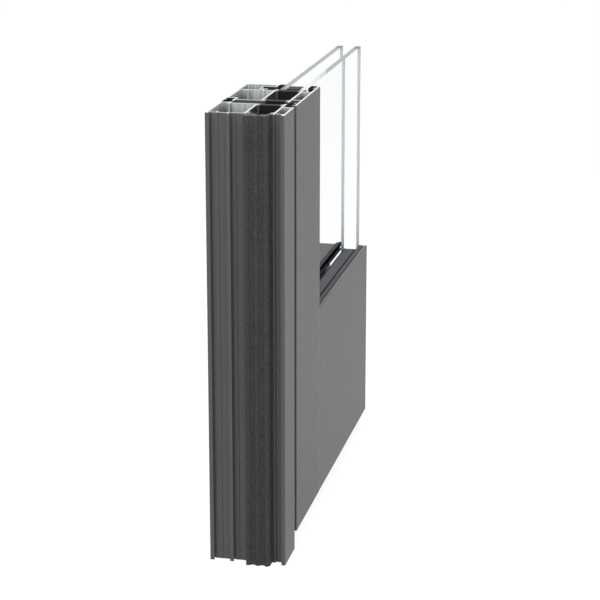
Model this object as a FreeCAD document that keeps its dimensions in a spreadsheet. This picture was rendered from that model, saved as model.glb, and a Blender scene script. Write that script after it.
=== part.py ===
import FreeCAD, Part
import os
import re

import Sketcher

# Corner of a thermally broken aluminium front door, cut out of the whole door:
# the jamb stands on the floor, and the leaf beside it is a stile, a bottom rail
# and a double-glazed unit held by beads and gaskets.
# Sections are drawn as (place, depth): place runs from the wall line towards the
# glass on the uprights and up from the floor on the rail, depth from the outer
# face at 0 to the room face.

SIZES = {
    "height": 442,
    "floor_gap": 15,
    "jamb_face": 44,
    "face_gap": 9,
    "stile_face": 112,
    "rail_face": 198,
    "rail_length": 271,
    "outer_depth": 12.5,
    "break_depth": 25,
    "inner_depth": 37.5,
    "wall": 2,
    "edge_round": 0.6,
    "jamb_back": 5,
    "back_groove": 2,
    "back_slot": 1.2,
    "back_slot_depth": 0.8,
    "outer_lip": 3.7,
    "rib_place": 10.3,
    "rib_width": 1.5,
    "middle_lip_place": 14,
    "middle_lip": 3.5,
    "inner_lip": 4,
    "lip_head": 2,
    "lip_undercut": 1.5,
    "clip_slot": 0.8,
    "clip_slot_depth": 0.8,
    "first_guide": 8.7,
    "second_guide": 25.7,
    "guide_half": 0.4,
    "guide_depth": 0.4,
    "jamb_core": 57,
    "jamb_inner_step": 4,
    "fin_reach": 3,
    "rebate_gap": 17,
    "inner_gap": 22.5,
    "stop_depth": 9,
    "leaf_stop_reach": 6,
    "jamb_stop_lip": 1,
    "jamb_flange": 29,
    "leaf_fin": 12,
    "glass_flange": 35,
    "flange_lip": 1.4,
    "flange_lip_width": 1.5,
    "bead_width": 32,
    "web_reach": 5,
    "lug_place": 12.5,
    "seat_half": 2,
    "mouth_half": 1.3,
    "jaw": 1.5,
    "seat_height": 2.5,
    "strip_width": 6,
    "strip_step": 1.5,
    "tooth_first": 1,
    "tooth_pitch": 9.2,
    "tooth_slope": 4.6,
    "tooth_back": 1.8,
    "tooth_base": 4.2,
    "tooth_tip": 6.8,
    "tooth_rise": 0.3,
    "heel": 2.5,
    "heel_rise": 1.1,
    "plate_back": 4.5,
    "plate_step": 3,
    "inner_leg": 5.5,
    "outer_leg": 3,
    "slot_place": 10.2,
    "slot_width": 4.2,
    "slot_depth": 5,
    "nib_place": 27,
    "nib_reach": 4,
    "nib": 1.5,
    "rail_ribs": 2,
    "bead_wall": 1.5,
    "bead_play": 0.5,
    "bead_shelf": 21,
    "bead_leg": 13,
    "seal_depth": 6,
    "seal_crest": 3.2,
    "seal_slope": 2,
    "seal_reach": 7.6,
    "seal_neck": 3.4,
    "seal_notch": 1.5,
    "seal_round": 0.4,
    "seal_heel": 1,
    "seal_tongue": 3,
    "seal_sunk": 0.8,
    "glass_set": 9,
    "pane": 6,
    "cavity": 14,
    "glass_inset": 25,
    "edge_step": 1,
    "edge_seal": 5,
    "spacer": 14,
    "block_length": 60,
    "block_place": 40,
    "seal_play": 0.3,
    "stop_seal": 8.5,
    "stop_seal_foot": 9,
    "stop_seal_tail": 5,
    "seal_wall": 1.4,
    "bulb_rise": 3,
    "hook_place": 1.5,
    "hook_span": 11,
    "glass_groove": 15,
    "glass_hook_span": 8,
    "hook": 1,
    "hook_height": 2.5,
    "hook_tip": 1,
}

doc = FreeCAD.newDocument("door_corner")
sheet = doc.addObject("Spreadsheet::Sheet", "Sizes")
for row, (alias, value) in enumerate(SIZES.items(), start=1):
    sheet.set(f"A{row}", alias)
    sheet.set(f"B{row}", str(value))
    sheet.setAlias(f"B{row}", alias)
doc.recompute()

# Lines that several pieces share, written with the names in the sheet.
DEPTH = "(outer_depth + break_depth + inner_depth)"
SHELF = "(outer_depth + break_depth)"
LEAF = "(jamb_face + face_gap)"
EDGE = "(jamb_face + face_gap + stile_face)"
RAIL_TOP = "(floor_gap + rail_face)"
END = "(jamb_face + face_gap + stile_face + rail_length)"
CORE = "(jamb_core + rebate_gap)"
JAMB_INNER = "(jamb_core + jamb_inner_step)"
LEAF_INNER = f"({JAMB_INNER} + inner_gap)"
STOP = f"({DEPTH} - stop_depth)"
JAW_HALF = "(seat_half + jaw)"
GLASS_IN = "(glass_set + 2 * pane + cavity)"


def bound(expression):
    """The expression with each size's name pointed at the sheet."""
    return re.sub(r"[a-z_]+", lambda word: "Sizes." * (word.group(0) in SIZES) + word.group(0),
                  expression)


def measured(expression):
    """What the expression comes to now, in millimetres."""
    return float(sheet.evalExpression(bound(expression)))


def plane_of(body, role):
    """One of the body's own origin planes."""
    return next(item for item in body.Origin.OriginFeatures if item.Role == role)


def draw(body, role, loops, turned=False, name="outline"):
    """A sketch of closed loops. Each corner is (place, depth), and a third value
    makes the side that arrives at it an arc that rises that far to its left."""
    sketch = body.newObject("Sketcher::SketchObject", body.Name + "_" + name)
    sketch.AttachmentSupport = [(plane_of(body, role), "")]
    sketch.MapMode = "FlatFace"
    for loop in loops:
        corners = []
        for corner in loop:
            across, up = (corner[1], corner[0]) if turned else corner[:2]
            rise = corner[2] if len(corner) > 2 else None
            if turned and rise:
                rise = f"0 - ({rise})"
            corners.append((across, up, rise))
        add_loop(sketch, corners)
    return sketch


def add_loop(sketch, corners):
    """Lines and arcs from corner to corner, each corner bound to the sheet."""
    points = [FreeCAD.Vector(measured(a), measured(b), 0) for a, b, _ in corners]
    first = sketch.GeometryCount
    count = len(points)
    sides, ends, bonds, texts = [], [], [], []
    for index in range(count):
        start, end = points[index], points[(index + 1) % count]
        rise = corners[(index + 1) % count][2]
        ends.append((1, 2))
        if rise is None:
            sides.append(Part.LineSegment(start, end))
            continue
        chord = end - start
        left = FreeCAD.Vector(-chord.y, chord.x, 0).normalize()
        middle = (start + end) * 0.5 + left * measured(rise)
        if measured(rise) > 0:
            start, end = end, start
            ends[-1] = (2, 1)
        sides.append(Part.Arc(start, middle, end))
    sketch.addGeometry(sides, False)
    for index, (across, up, _) in enumerate(corners):
        side, after = first + index, (index + 1) % count
        bonds.append(Sketcher.Constraint("Coincident", side, ends[index][1],
                                         first + after, ends[after][0]))
        texts.append(None)
        for kind, text, value in (("DistanceX", across, points[index].x),
                                  ("DistanceY", up, points[index].y)):
            bonds.append(Sketcher.Constraint(kind, -1, 1, side, ends[index][0], value))
            texts.append(text)
        a, b, rise = corners[after]
        if rise is not None:
            half = f"((({a}) - ({across}))^2 + (({b}) - ({up}))^2) / 4"
            texts.append(f"({half} + ({rise})^2) / (2 * abs({rise}))")
            bonds.append(Sketcher.Constraint("Radius", side, measured(texts[-1])))
    for number, text in zip(sketch.addConstraint(bonds), texts):
        if text:
            sketch.setExpression(f"Constraints[{number}]", bound(text))


def place(body, x="0", y="0", z="0"):
    """The body's place, counted from the centre of the jamb's foot."""
    body.setExpression("Placement.Base.x", bound(f"{x} - jamb_core / 2"))
    body.setExpression("Placement.Base.y", bound(f"{y} - {SHELF} - wall / 2"))
    body.setExpression("Placement.Base.z", bound(z))


def pad(body, sketch, length, reversed_way=False):
    feature = body.newObject("PartDesign::Pad", body.Name + "_length")
    feature.Profile = sketch
    feature.Reversed = reversed_way
    feature.setExpression("Length", bound(length))
    sketch.Visibility = False
    return feature


def new_body(name):
    body = doc.addObject("PartDesign::Body", name)
    body.Label = name
    return body


def upright(name, loops, foot, length):
    """A piece whose section is drawn from above and runs up from foot."""
    body = new_body(name)
    pad(body, draw(body, "XY_Plane", loops), length)
    place(body, z=foot)
    return body


def crosswise(name, loops, start, length):
    """A piece whose section is drawn from the side and runs along the rail."""
    body = new_body(name)
    pad(body, draw(body, "YZ_Plane", loops, turned=True), length)
    place(body, x=start)
    return body


def panel(name, loops, depth, thickness):
    """A flat piece drawn from the front, its outer face at depth."""
    body = new_body(name)
    pad(body, draw(body, "XZ_Plane", loops), thickness, reversed_way=True)
    place(body, y=depth)
    return body


def notch(body, role, loops, length, turned=False):
    """Material milled away from the body's end."""
    sketch = draw(body, role, loops, turned, "notch")
    cut = body.newObject("PartDesign::Pocket", body.Name + "_milled")
    cut.Profile = sketch
    cut.Reversed = True
    cut.setExpression("Length", bound(length))
    sketch.Visibility = False
    return cut


def box(low, high, near, far):
    return [(low, near), (high, near), (high, far), (low, far)]


def eased(across, depth, before, after):
    """A rounded corner. before and after point from it along its two sides."""
    turn = before[0] * after[1] - before[1] * after[0]
    corners = [(f"{across} + ({way[0]}) * edge_round", f"{depth} + ({way[1]}) * edge_round")
               for way in (before, after)]
    return [corners[0], corners[1] + (f"({turn}) * edge_round * (1 - sqrt(1 / 2))",)]


def seat(centre, level, way):
    """The two jaws of a shell that grip a strip's foot. way is + or - in depth."""
    mouth = f"{level} {way} seat_height"
    return [(f"{centre} - {JAW_HALF}", level), (f"{centre} - {JAW_HALF}", mouth),
            (f"{centre} - mouth_half", mouth), (f"{centre} - seat_half", level),
            (f"{centre} + seat_half", level), (f"{centre} + mouth_half", mouth),
            (f"{centre} + {JAW_HALF}", mouth), (f"{centre} + {JAW_HALF}", level)]


def foot(centre, level, way):
    """The end of a strip that fills the same jaws."""
    return seat(centre, level, way)[2:6]


def break_strip(centre):
    """A straight polyamide strip from the outer shell to the inner one."""
    low, high = f"{centre} - strip_width / 2", f"{centre} + strip_width / 2"
    outer, inner = "outer_depth + seat_height", f"{SHELF} - seat_height"
    return [[(low, outer)] + foot(centre, "outer_depth", "+") + [(high, outer), (high, inner)]
            + foot(centre, SHELF, "-")[::-1] + [(low, inner)]]


def hooks(near, span):
    """The two hooks behind a flange that hold a gasket's foot, the far one first."""
    far, neck, tip = f"({near} + {span})", "wall + hook_height - hook", "wall + hook_height"
    return [(f"{far} + hook", "wall"), (f"{far} + hook", tip), (f"{far} - hook_tip", tip),
            (f"{far} - hook_tip", neck), (far, neck), (far, "wall"),
            (f"{near} + hook", "wall"), (f"{near} + hook", neck),
            (f"{near} + hook + hook_tip", neck), (f"{near} + hook + hook_tip", tip),
            (near, tip), (near, "wall")]


def hooked_foot(near, span):
    """The foot of a gasket that fills the space between those hooks."""
    return hooks(near, span)[2:10][::-1]


# Jamb: two shells tied by two strips.
WALL_STRIP = f"(jamb_back + back_groove + {JAW_HALF})"
JAMB_STRIP = f"(jamb_core - {JAW_HALF})"
MIDDLE_LIP = f"({SHELF} + middle_lip_place)"
INNER_LIP = f"({DEPTH} - inner_lip)"
RIB_TOP = "(rib_place + rib_width)"
SLOT_FLOOR = "(jamb_back + back_groove + back_slot_depth)"
NIB = f"({SHELF} + nib_place)"
JAMB_STOP = f"({JAMB_INNER} + jamb_stop_lip)"
FIN = "(jamb_core + fin_reach)"


def guide(level):
    """A drill guide, scribed down the back of the jamb."""
    return [("jamb_back", f"{level} + guide_half"), ("jamb_back + guide_depth", level),
            ("jamb_back", f"{level} - guide_half")]


def undercut(level):
    """The side of a wall lip, cut back behind its head, with a slot for an anchor clip."""
    return [("0", level), ("lip_head", level), ("lip_head", f"{level} + lip_undercut"),
            ("jamb_back + clip_slot_depth", f"{level} + lip_undercut"),
            ("jamb_back + clip_slot_depth", f"{level} - clip_slot"),
            ("jamb_back", f"{level} - clip_slot")]


jamb_inner_outline = (
    [("jamb_back", SHELF)] + seat(WALL_STRIP, SHELF, "-") + seat(JAMB_STRIP, SHELF, "-")[:-1]
    + [("jamb_core", f"{STOP} - wall"), (JAMB_STOP, f"{STOP} - wall"), (JAMB_STOP, STOP),
       (JAMB_INNER, STOP)]
    + eased(JAMB_INNER, DEPTH, (0, -1), (-1, 0)) + eased("0", DEPTH, (1, 0), (0, -1))
    + undercut(INNER_LIP) + guide(f"({SHELF} + second_guide)")
    + [("jamb_back", f"{MIDDLE_LIP} + middle_lip"), ("0", f"{MIDDLE_LIP} + middle_lip")]
    + undercut(MIDDLE_LIP) + guide(f"({SHELF} + first_guide)"))
jamb_inner_chamber = [
    ("jamb_back + wall", f"{SHELF} + wall"), ("jamb_core - wall", f"{SHELF} + wall"),
    ("jamb_core - wall", NIB), ("jamb_core - wall - nib_reach", NIB),
    ("jamb_core - wall - nib_reach", f"{NIB} + nib"), (f"{JAMB_INNER} - wall", f"{NIB} + nib"),
    (f"{JAMB_INNER} - wall", f"{DEPTH} - wall"), ("jamb_back + wall", f"{DEPTH} - wall"),
    ("jamb_back + wall", f"{NIB} + nib"), ("jamb_back + wall + nib_reach", f"{NIB} + nib"),
    ("jamb_back + wall + nib_reach", NIB), ("jamb_back + wall", NIB)]
upright("jamb_inner_shell", [jamb_inner_outline, jamb_inner_chamber], "0", "height")

jamb_outer_outline = (
    eased("0", "0", (0, 1), (1, 0)) + eased("jamb_face", "0", (-1, 0), (0, 1))
    + [("jamb_face", "outer_depth - wall"), (FIN, "outer_depth - wall"), (FIN, "outer_depth")]
    + seat(JAMB_STRIP, "outer_depth", "+")[::-1]
    + seat(WALL_STRIP, "outer_depth", "+")[::-1][:-1]
    + [("jamb_back + back_groove", RIB_TOP), ("jamb_back", RIB_TOP)]
    + eased("jamb_back", "rib_place", (0, 1), (1, 0))
    + [(SLOT_FLOOR, "rib_place"), (SLOT_FLOOR, "rib_place - back_slot"),
       ("jamb_back + back_groove", "rib_place - back_slot"),
       ("jamb_back + back_groove", "outer_lip + back_slot"),
       (SLOT_FLOOR, "outer_lip + back_slot"), (SLOT_FLOOR, "outer_lip"), ("0", "outer_lip")])
jamb_outer_chamber = box("jamb_back + back_groove + wall", "jamb_face - wall",
                         "wall", "outer_depth - wall")
upright("jamb_outer_shell", [jamb_outer_outline, jamb_outer_chamber], "0", "height")

# The strip on the wall side stands proud of the jamb as a plate on two legs, with
# saw teeth outside that key into the foam behind the frame.
TEETH = 3
SIDE = "(outer_depth + strip_step)"
BACK = f"({WALL_STRIP} + mouth_half)"
SLOT = "(outer_depth + slot_place)"


def tip(number):
    return f"({SHELF} - tooth_first - tooth_pitch * {number})"


def tooth(number):
    """From a tip down its slope and along the flat before the next tip."""
    return [("0 - tooth_tip", tip(number)),
            ("0 - tooth_base", f"{tip(number)} - tooth_slope", "0 - tooth_rise"),
            ("0 - tooth_base", f"{tip(number + 1)} + tooth_back")]


wall_strip = (
    foot(WALL_STRIP, SHELF, "-")[::-1]
    + [(f"{WALL_STRIP} - {JAW_HALF}", f"{SHELF} - seat_height"),
       (f"{WALL_STRIP} - {JAW_HALF}", SHELF)]
    + eased("0 - tooth_tip", SHELF, (1, 0), (0, -1))
    + [corner for number in range(TEETH - 1) for corner in tooth(number)]
    + [("0 - tooth_tip", tip(TEETH - 1)), ("0 - heel", SIDE, "0 - heel_rise"),
       ("jamb_back", SIDE), ("jamb_back", RIB_TOP), ("jamb_back + back_groove", RIB_TOP),
       ("jamb_back + back_groove", "outer_depth + seat_height")]
    + foot(WALL_STRIP, "outer_depth", "+")
    + [(BACK, f"{SIDE} + outer_leg"), ("plate_back", f"{SIDE} + outer_leg"),
       ("plate_back", SLOT), ("plate_back - slot_depth", SLOT),
       ("plate_back - slot_depth", f"{SLOT} + slot_width"),
       ("plate_back + plate_step", f"{SLOT} + slot_width"),
       ("plate_back + plate_step", f"{SHELF} - inner_leg"), (BACK, f"{SHELF} - inner_leg")])
upright("jamb_wall_strip", [wall_strip], "0", "height")
upright("jamb_leaf_strip", break_strip(JAMB_STRIP), "0", "height")

# Leaf stile: the same build, with a rebate for the glass on its far side.
FRAME_STRIP = f"({CORE} + {JAW_HALF})"
GLASS_WALL = f"({EDGE} - bead_width)"
LUG = f"({SHELF} + lug_place)"
STOP_GROOVE = f"({LEAF} + hook_place)"
HOOK_ROOM = "(wall + hook_height + edge_step)"


def glass_groove(edge):
    """Where the near hook of the glazing gasket's groove stands."""
    return f"({edge} - glass_groove)"


def flange_end(edge):
    """The end of the outer flange, turned in towards the glass as a low lip."""
    return (eased(edge, "0", (-1, 0), (0, 1))
            + [(edge, "wall + flange_lip"), (f"{edge} - flange_lip_width", "wall + flange_lip"),
               (f"{edge} - flange_lip_width", "wall")])


stile_inner_outline = (
    seat(FRAME_STRIP, SHELF, "-")[1:] + seat(GLASS_WALL, SHELF, "-")[:-1]
    + [(f"{GLASS_WALL} + web_reach", SHELF), (f"{GLASS_WALL} + web_reach", f"{SHELF} + wall"),
       (GLASS_WALL, f"{SHELF} + wall"), (GLASS_WALL, LUG),
       (f"{GLASS_WALL} + web_reach", LUG), (f"{GLASS_WALL} + web_reach", f"{LUG} + wall"),
       (GLASS_WALL, f"{LUG} + wall"), (GLASS_WALL, DEPTH)]
    + eased(LEAF_INNER, DEPTH, (1, 0), (0, -1))
    + [(LEAF_INNER, STOP), (f"{CORE} - leaf_stop_reach", STOP),
       (f"{CORE} - leaf_stop_reach", f"{STOP} - wall"), (CORE, f"{STOP} - wall")])
stile_inner_chamber = [
    (f"{CORE} + wall", f"{SHELF} + wall"), (f"{GLASS_WALL} - wall", f"{SHELF} + wall"),
    (f"{GLASS_WALL} - wall", NIB), (f"{GLASS_WALL} - wall - nib_reach", NIB),
    (f"{GLASS_WALL} - wall - nib_reach", f"{NIB} + nib"), (f"{GLASS_WALL} - wall", f"{NIB} + nib"),
    (f"{GLASS_WALL} - wall", f"{DEPTH} - wall"), (f"{LEAF_INNER} + wall", f"{DEPTH} - wall"),
    (f"{LEAF_INNER} + wall", f"{STOP} - wall"), (f"{CORE} + wall", f"{STOP} - wall")]
stile_inner = upright("stile_inner_shell", [stile_inner_outline, stile_inner_chamber],
                      "floor_gap", "height - floor_gap")
notch(stile_inner, "XY_Plane",
      [box(GLASS_WALL, f"{GLASS_WALL} + 2 * web_reach", f"{LUG} - wall", f"{LUG} + 2 * wall")],
      f"{RAIL_TOP} - floor_gap")

stile_outer_outline = (
    eased(LEAF, "0", (0, 1), (1, 0)) + flange_end(EDGE)
    + hooks(glass_groove(EDGE), "glass_hook_span")
    + [(f"{EDGE} - glass_flange", "wall"), (f"{EDGE} - glass_flange", "outer_depth - wall"),
       (f"{GLASS_WALL} + web_reach", "outer_depth - wall"),
       (f"{GLASS_WALL} + web_reach", "outer_depth")]
    + seat(GLASS_WALL, "outer_depth", "+")[::-1][1:] + seat(FRAME_STRIP, "outer_depth", "+")[::-1]
    + [(f"{LEAF} + jamb_flange - leaf_fin", "outer_depth"),
       (f"{LEAF} + jamb_flange - leaf_fin", "outer_depth - wall"),
       (f"{LEAF} + jamb_flange", "outer_depth - wall"), (f"{LEAF} + jamb_flange", "wall")]
    + hooks(STOP_GROOVE, "hook_span") + [(LEAF, "wall")])
stile_outer_chamber = box(f"{LEAF} + jamb_flange + wall", f"{EDGE} - glass_flange - wall",
                          "wall", "outer_depth - wall")
stile_outer = upright("stile_outer_shell", [stile_outer_outline, stile_outer_chamber],
                      "floor_gap", "height - floor_gap")
notch(stile_outer, "XY_Plane",
      [box(f"{glass_groove(EDGE)} - edge_step", EDGE, "wall", HOOK_ROOM)],
      f"{RAIL_TOP} - floor_gap")
upright("stile_frame_strip", break_strip(FRAME_STRIP), "floor_gap", "height - floor_gap")
upright("stile_glass_strip", break_strip(GLASS_WALL), "floor_gap", "height - floor_gap")

# Bottom rail: its ends are milled to pass behind the stile's flange and web.
RAIL_WALL = f"({RAIL_TOP} - bead_width)"
FLOOR_STRIP = f"(floor_gap + {JAW_HALF})"
BUTT = f"({GLASS_WALL} + web_reach)"


def rail_chambers(low, high, near, far):
    """The hollow between low and high, split by the rail's ribs."""
    cells = int(measured("rail_ribs")) + 1
    pitch = f"(({high}) - ({low}) + wall) / {cells}"
    return [box(f"{low} + {pitch} * {cell}", f"{low} + {pitch} * {cell + 1} - wall", near, far)
            for cell in range(cells)]


rail_inner_outline = (
    [("floor_gap", SHELF)] + seat(FLOOR_STRIP, SHELF, "-")[1:] + seat(RAIL_WALL, SHELF, "-")[:-1]
    + [(f"{RAIL_WALL} + web_reach", SHELF), (f"{RAIL_WALL} + web_reach", f"{SHELF} + wall"),
       (RAIL_WALL, f"{SHELF} + wall"), (RAIL_WALL, LUG), (f"{RAIL_WALL} + web_reach", LUG),
       (f"{RAIL_WALL} + web_reach", f"{LUG} + wall"), (RAIL_WALL, f"{LUG} + wall"),
       (RAIL_WALL, DEPTH)]
    + eased("floor_gap", DEPTH, (1, 0), (0, -1)))
rail_inner = crosswise(
    "rail_inner_shell",
    [rail_inner_outline] + rail_chambers("floor_gap + wall", f"{RAIL_WALL} - wall",
                                         f"{SHELF} + wall", f"{DEPTH} - wall"),
    GLASS_WALL, f"{END} - {GLASS_WALL}")
notch(rail_inner, "YZ_Plane",
      [box("0", f"{RAIL_WALL} + 2 * web_reach", "outer_depth", f"{SHELF} + wall")],
      "web_reach", turned=True)

rail_outer_outline = (
    eased("floor_gap", "0", (0, 1), (1, 0)) + flange_end(RAIL_TOP)
    + hooks(glass_groove(RAIL_TOP), "glass_hook_span")
    + [(f"{RAIL_TOP} - glass_flange", "wall"),
       (f"{RAIL_TOP} - glass_flange", "outer_depth - wall"),
       (f"{RAIL_WALL} + web_reach", "outer_depth - wall"), (f"{RAIL_WALL} + web_reach", "outer_depth")]
    + seat(RAIL_WALL, "outer_depth", "+")[::-1][1:]
    + seat(FLOOR_STRIP, "outer_depth", "+")[::-1][:-1] + [("floor_gap", "outer_depth")])
rail_outer = crosswise(
    "rail_outer_shell",
    [rail_outer_outline] + rail_chambers("floor_gap + wall", f"{RAIL_TOP} - glass_flange - wall",
                                         "wall", "outer_depth - wall"),
    BUTT, f"{END} - {BUTT}")
notch(rail_outer, "YZ_Plane",
      [[("0", "0 - wall"), ("height", "0 - wall"), ("height", HOOK_ROOM),
        (f"{RAIL_TOP} - glass_flange + wall", HOOK_ROOM), (f"{RAIL_TOP} - glass_flange + wall", "wall"),
        ("0", "wall")]],
      f"{EDGE} - {BUTT}", turned=True)
crosswise("rail_floor_strip", break_strip(FLOOR_STRIP), BUTT, f"{END} - {BUTT}")
crosswise("rail_glass_strip", break_strip(RAIL_WALL), BUTT, f"{END} - {BUTT}")


def bead(edge):
    """A hollow clip-in bead whose leg carries the inner glazing gasket."""
    rear = f"({edge} - bead_width + bead_play)"
    shelf = f"({DEPTH} - bead_shelf)"
    leg = f"({edge} - bead_leg)"
    front = f"({GLASS_IN} + seal_depth)"
    hook = f"({edge} - bead_width + web_reach + bead_play)"
    under = f"({LUG} - bead_play)"
    return [
        [(rear, DEPTH), (rear, shelf), (hook, shelf), (hook, under),
         (f"{hook} - wall", under), (f"{hook} - wall", f"{under} - wall"),
         (f"{hook} + wall", f"{under} - wall"), (f"{hook} + wall", shelf),
         (leg, shelf), (leg, front), (edge, front)] + eased(edge, DEPTH, (0, -1), (-1, 0)),
        [(f"{rear} + bead_wall", f"{DEPTH} - bead_wall"), (f"{rear} + bead_wall", f"{shelf} + bead_wall"),
         (f"{leg} + bead_wall", f"{shelf} + bead_wall"), (f"{leg} + bead_wall", f"{front} + bead_wall"),
         (f"{edge} - bead_wall", f"{front} + bead_wall"), (f"{edge} - bead_wall", NIB),
         (f"{edge} - bead_wall - nib", NIB), (f"{edge} - bead_wall - nib", f"{NIB} + nib"),
         (f"{edge} - bead_wall", f"{NIB} + nib"), (f"{edge} - bead_wall", f"{DEPTH} - bead_wall")]]


def inner_gasket(edge):
    """A wedge gasket between the bead and the inner pane, with a notch between its two
    lobes and a top that slopes up to the glass."""
    glass, front = GLASS_IN, f"({GLASS_IN} + seal_depth)"
    low, high = f"({edge} - seal_reach)", f"({edge} + seal_crest)"
    neck = f"({edge} - seal_neck)"
    return [[(low, front), (f"{low} + seal_heel", glass, "0 - seal_round"),
             (f"{neck} - seal_notch", glass), (neck, f"{glass} + seal_notch"),
             (f"{neck} + seal_notch", glass), (high, glass), (f"{high} - seal_slope", front)]]


def outer_gasket(edge):
    """The gasket between the shell's flange and the outer pane. A tongue closes the gap
    to the flange's lip, a little below the edge."""
    level, lip = "wall + hook_height", "wall + flange_lip"
    low = f"({glass_groove(edge)} - edge_step)"
    return [hooked_foot(glass_groove(edge), "glass_hook_span")
            + [(f"{edge} - seal_tongue", level), (f"{edge} - seal_tongue", lip),
               (f"{edge} - seal_sunk", lip), (f"{edge} - seal_sunk", level),
               (edge, level), (edge, "glass_set"), (low, "glass_set"), (low, level)]]


crosswise("rail_bead", bead(RAIL_TOP), f"{GLASS_WALL} + bead_play",
          f"{END} - {GLASS_WALL} - bead_play")
upright("stile_bead", bead(EDGE), RAIL_TOP, f"height - {RAIL_TOP}")
crosswise("rail_inner_gasket", inner_gasket(RAIL_TOP), f"{EDGE} - seal_reach",
          f"{END} - {EDGE} + seal_reach")
upright("stile_inner_gasket", inner_gasket(EDGE), f"{RAIL_TOP} + seal_crest",
        f"height - {RAIL_TOP} - seal_crest")
crosswise("rail_outer_gasket", outer_gasket(RAIL_TOP), f"{glass_groove(EDGE)} - edge_step",
          f"{END} - {glass_groove(EDGE)} + edge_step")
upright("stile_outer_gasket", outer_gasket(EDGE), RAIL_TOP, f"height - {RAIL_TOP}")

# Double glazing: two panes, the spacer bar bent round the corner and the seal behind it.
GLASS_X = f"({EDGE} - glass_inset)"
GLASS_Z = f"({RAIL_TOP} - glass_inset)"
panel("outer_pane", [box(GLASS_X, END, GLASS_Z, "height")], "glass_set", "pane")
panel("inner_pane", [box(GLASS_X, END, GLASS_Z, "height")], "glass_set + pane + cavity", "pane")


def corner_bar(start, width):
    """An L from the top of the stile down to the corner and along the rail."""
    x_low, z_low = f"({GLASS_X} + {start})", f"({GLASS_Z} + {start})"
    x_high, z_high = f"{x_low} + {width}", f"{z_low} + {width}"
    return [[(x_low, z_low), (END, z_low), (END, z_high), (x_high, z_high),
             (x_high, "height"), (x_low, "height")]]


panel("edge_seal", corner_bar("edge_step", "edge_seal"), "glass_set + pane", "cavity")
panel("spacer_bar", corner_bar("(edge_step + edge_seal)", "spacer"), "glass_set + pane", "cavity")

# The block that carries the glass on the rail's strip.
block_start = f"({EDGE} + block_place)"
panel("setting_block",
      [box(block_start, f"{block_start} + block_length", f"{RAIL_WALL} + strip_width / 2", GLASS_Z)],
      "outer_depth + seat_height", "break_depth - 2 * seat_height")

# Stop gaskets: one held by the jamb indoors, one hooked to the leaf outdoors.
SEAL_FOOT = f"({JAMB_INNER} + stop_seal_foot)"
SEAL_LINE = f"({STOP} + seal_play)"
SEAL_BACK = f"({STOP} + stop_seal)"
inner_stop = [
    [(JAMB_INNER, f"{STOP} + seal_heel"), (f"{JAMB_INNER} + stop_seal_tail", f"{STOP} + seal_heel"),
     (SEAL_FOOT, SEAL_LINE), (f"{LEAF_INNER} - seal_heel", SEAL_LINE),
     (f"{LEAF_INNER} - stop_seal_tail", f"{SEAL_BACK} - seal_heel", "0 - seal_heel"),
     (SEAL_FOOT, SEAL_BACK), (JAMB_INNER, SEAL_BACK)],
    box(f"{JAMB_INNER} + seal_wall", f"{SEAL_FOOT} - seal_wall",
        f"{STOP} + seal_heel + seal_wall", f"{SEAL_BACK} - seal_wall"),
    [(SEAL_FOOT, f"{SEAL_LINE} + seal_wall"),
     (f"{LEAF_INNER} - seal_heel - 2 * seal_wall", f"{SEAL_LINE} + seal_wall"),
     (f"{LEAF_INNER} - stop_seal_tail - seal_wall", f"{SEAL_BACK} - seal_heel - seal_wall"),
     (SEAL_FOOT, f"{SEAL_BACK} - seal_wall")]]
upright("inner_stop_gasket", inner_stop, "0", "height")

BULB_FAR = f"({STOP_GROOVE} + hook_span + hook)"
BULB_FOOT = "(wall + hook_height)"
BULB_SIDE = "(outer_depth - wall - seal_play - bulb_rise)"
outer_stop = [
    hooked_foot(STOP_GROOVE, "hook_span")
    + [(BULB_FAR, BULB_FOOT), (BULB_FAR, BULB_SIDE), (STOP_GROOVE, BULB_SIDE, "0 - bulb_rise"),
       (STOP_GROOVE, BULB_FOOT)],
    [(f"{STOP_GROOVE} + seal_wall", f"{BULB_FOOT} + seal_wall"),
     (f"{BULB_FAR} - seal_wall", f"{BULB_FOOT} + seal_wall"),
     (f"{BULB_FAR} - seal_wall", BULB_SIDE),
     (f"{STOP_GROOVE} + seal_wall", BULB_SIDE, "seal_wall - bulb_rise")]]
upright("outer_stop_gasket", outer_stop, "floor_gap", "height - floor_gap")

doc.recompute()
broken = [item.Name for item in doc.Objects if "Invalid" in item.State or "Error" in item.State]
bodies = [item for item in doc.Objects if item.TypeId == "PartDesign::Body"]
broken += [item.Name for item in bodies if item.Shape.isNull() or not item.Shape.isValid()
           or len(item.Shape.Solids) != 1]
if broken:
    raise RuntimeError(f"not built: {broken}")

os.makedirs("parts", exist_ok=True)
for item in bodies:
    item.Shape.exportStep(f"parts/{item.Label}.step")
    print(item.Label, round(item.Shape.Volume))
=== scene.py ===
# %% [markdown]
# # The corner of a front door
#
# The object is a piece sawn out of a whole aluminium front door: the jamb that stands
# on the floor, and beside it the lower corner of the leaf, with its stile, bottom rail,
# glazing beads, gaskets and double glazing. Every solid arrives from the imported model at
# its real place. This lesson gives each one the finish that the real piece has.

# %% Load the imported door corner
import math

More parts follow.
